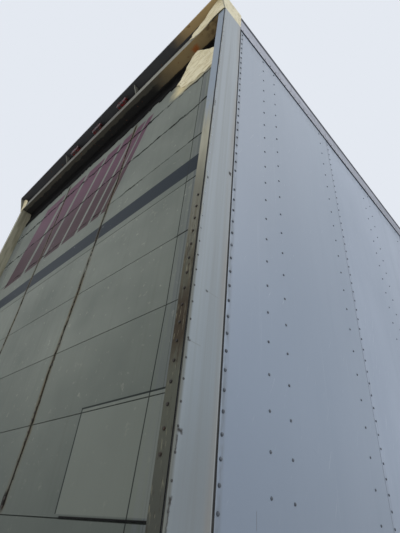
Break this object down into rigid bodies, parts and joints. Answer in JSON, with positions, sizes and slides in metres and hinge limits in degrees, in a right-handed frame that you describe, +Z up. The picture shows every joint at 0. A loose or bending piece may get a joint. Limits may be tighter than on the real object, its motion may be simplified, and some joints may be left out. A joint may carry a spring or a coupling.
{
  "type": "box semi trailer",
  "caption": "Van-body semi trailer with riveted sheet sides, a roll-up rear door, a sliding tandem with twin wheels, landing legs and a kingpin.",
  "frame": {"origin": "on the ground, below the middle of the overall box (dock bumpers to air couplings)", "axes": "+X forward towards the nose, +Y to the trailer's left, +Z up"},
  "size_m": [14.63, 2.438, 4.115],
  "materials": {
    "deck_wood": "worn hardwood boards",
    "chassis_black": "dusty satin black",
    "body_white": "weathered semi-gloss white",
    "rear_frame": "chipped and rusty white",
    "door_paint": "scuffed satin off-white",
    "rail_aluminium": "dull mill finish",
    "roof_aluminium": "dull mill finish",
    "galvanised": "galvanised",
    "forged_steel": "greased, machined",
    "spring_steel": "rusty black",
    "rubber": "dusty matte",
    "tyre": "dusty matte",
    "wheel_paint": "dusty gloss white",
    "red_lens": "clear gloss",
    "amber_lens": "clear gloss"
  },
  "bodies": {
    "trailer": {"floor_deck": "deck_wood", "crossmembers": "chassis_black", "bottom_rails": "rail_aluminium", "top_rails": "rail_aluminium", "side_wall_left": "body_white", "side_wall_right": "body_white", "front_wall": "body_white", "front_corner_posts": "rail_aluminium", "roof": "roof_aluminium", "rear_header": "rear_frame", "rear_posts": "rear_frame", "rear_sill": "rear_frame", "door_sections": "door_paint", "door_seal": "rubber", "door_latch": "galvanised", "dock_bumpers": "rubber", "rear_guard": "rear_frame", "red_lamps": "red_lens", "tail_lamps": "red_lens", "amber_lamps": "amber_lens", "upper_coupler": "chassis_black", "kingpin": "forged_steel", "leg_tubes": "chassis_black", "leg_feet": "chassis_black", "leg_braces": "chassis_black", "leg_drive": "galvanised", "body_rails": "chassis_black", "gladhands": "galvanised", "electric_socket": "galvanised"},
    "tandem": {"slider_frame": "chassis_black", "spring_hangers": "chassis_black", "equalizers": "chassis_black", "leaf_springs": "spring_steel", "axles": "chassis_black", "brake_gear": "chassis_black", "torque_arms": "chassis_black", "lock_pins": "forged_steel", "air_tank": "chassis_black", "mud_flaps": "rubber", "flap_hangers": "chassis_black"},
    "wheels_front_left": {"tyres_front_left": "tyre", "wheel_front_left": "wheel_paint"},
    "wheels_front_right": {"tyres_front_right": "tyre", "wheel_front_right": "wheel_paint"},
    "wheels_rear_left": {"tyres_rear_left": "tyre", "wheel_rear_left": "wheel_paint"},
    "wheels_rear_right": {"tyres_rear_right": "tyre", "wheel_rear_right": "wheel_paint"}
  },
  "joints": [
    {"name": "tandem_slide", "type": "slide", "parent": "trailer", "child": "tandem", "axis": [1, 0, 0], "range_m": [0, 2.438]},
    {"name": "front_left_spin", "type": "hinge", "parent": "tandem", "child": "wheels_front_left", "pos_m": [-4.61, 0.908, 0.522], "axis": [0, 1, 0], "continuous": true},
    {"name": "front_right_spin", "type": "hinge", "parent": "tandem", "child": "wheels_front_right", "pos_m": [-4.61, -0.908, 0.522], "axis": [0, 1, 0], "continuous": true},
    {"name": "rear_left_spin", "type": "hinge", "parent": "tandem", "child": "wheels_rear_left", "pos_m": [-5.855, 0.908, 0.522], "axis": [0, 1, 0], "continuous": true},
    {"name": "rear_right_spin", "type": "hinge", "parent": "tandem", "child": "wheels_rear_right", "pos_m": [-5.855, -0.908, 0.522], "axis": [0, 1, 0], "continuous": true}
  ]
}
